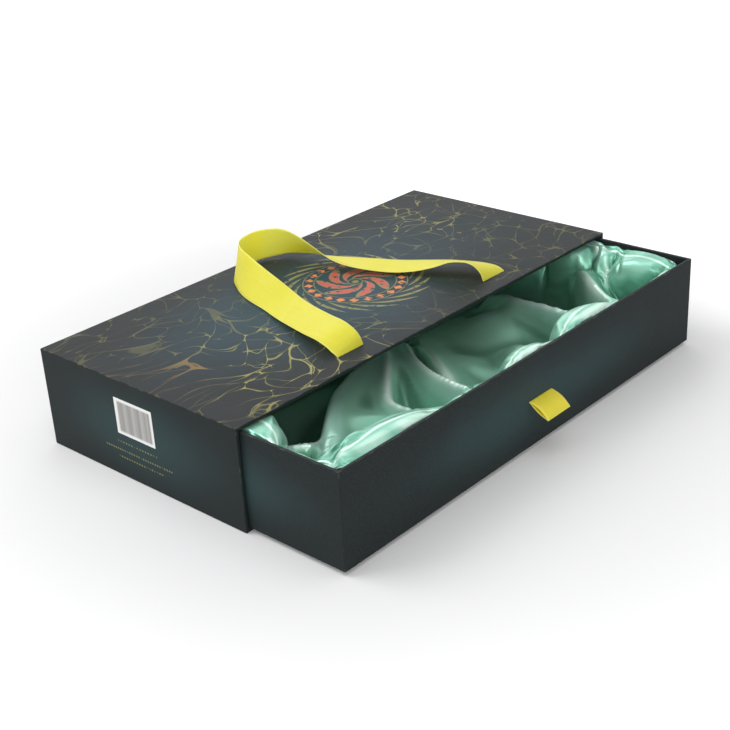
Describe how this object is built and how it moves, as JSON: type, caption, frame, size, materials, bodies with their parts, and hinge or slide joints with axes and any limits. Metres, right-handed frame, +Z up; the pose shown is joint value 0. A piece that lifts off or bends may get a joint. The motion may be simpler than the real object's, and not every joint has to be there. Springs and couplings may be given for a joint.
{
  "type": "sliding drawer gift box",
  "caption": "Flat sliding drawer gift box: a satin-lined tray with a folded ribbon pull tab slides out of an open-fronted sleeve with a ribbon carrying handle on its top.",
  "frame": {"origin": "centre of the sleeve's flat underside", "axes": "+X along the box's long side, to the right when its open front faces the viewer; the tray slides out towards -Y; +Z is up"},
  "size_m": [0.3901, 0.2833, 0.0978],
  "materials": {
    "greyboard": "matt grey rigid board",
    "printed_paper": "matt laminated dark teal-black print with a gold vein ornament",
    "black_paper": "matt black paper",
    "stay_tape": "gummed kraft paper tape",
    "label_paper": "white matt label with plain grey bars",
    "yellow_ribbon": "soft yellow satin ribbon with woven edges",
    "green_satin": "shiny green satin",
    "sponge": "open-cell foam sheet"
  },
  "bodies": {
    "sleeve": {"sleeve_top_board": "greyboard", "sleeve_bottom_board": "greyboard", "sleeve_back_board": "greyboard", "sleeve_left_board": "greyboard", "sleeve_right_board": "greyboard", "sleeve_corner_stays": "stay_tape", "sleeve_wrap": "printed_paper", "sleeve_base_sheet": "black_paper", "sleeve_liner": "black_paper", "end_label": "label_paper", "handle_tail_left": "yellow_ribbon", "handle_tail_right": "yellow_ribbon"},
    "handle": {"handle_ribbon": "yellow_ribbon"},
    "tray": {"tray_base_board": "greyboard", "tray_front_board": "greyboard", "tray_back_board": "greyboard", "tray_left_board": "greyboard", "tray_right_board": "greyboard", "tray_corner_stays": "stay_tape", "tray_wrap": "printed_paper", "tray_base_sheet": "black_paper", "tray_liner": "black_paper", "base_pad": "sponge", "satin_lining": "green_satin", "pull_tab_tail": "yellow_ribbon"},
    "tab": {"pull_tab": "yellow_ribbon"}
  },
  "joints": [
    {"name": "tray_slide", "type": "slide", "parent": "sleeve", "child": "tray", "axis": [0, -1, 0], "range_m": [-0.078, 0.115]},
    {"name": "handle_lift", "type": "hinge", "parent": "sleeve", "child": "handle", "pos_m": [0, -0.076, 0.078], "axis": [1, 0, 0], "range_deg": [0, 115]},
    {"name": "pull_tab_swing", "type": "hinge", "parent": "tray", "child": "tab", "pos_m": [0, -0.1738, 0.0357], "axis": [1, 0, 0], "range_deg": [-115, 55]}
  ]
}
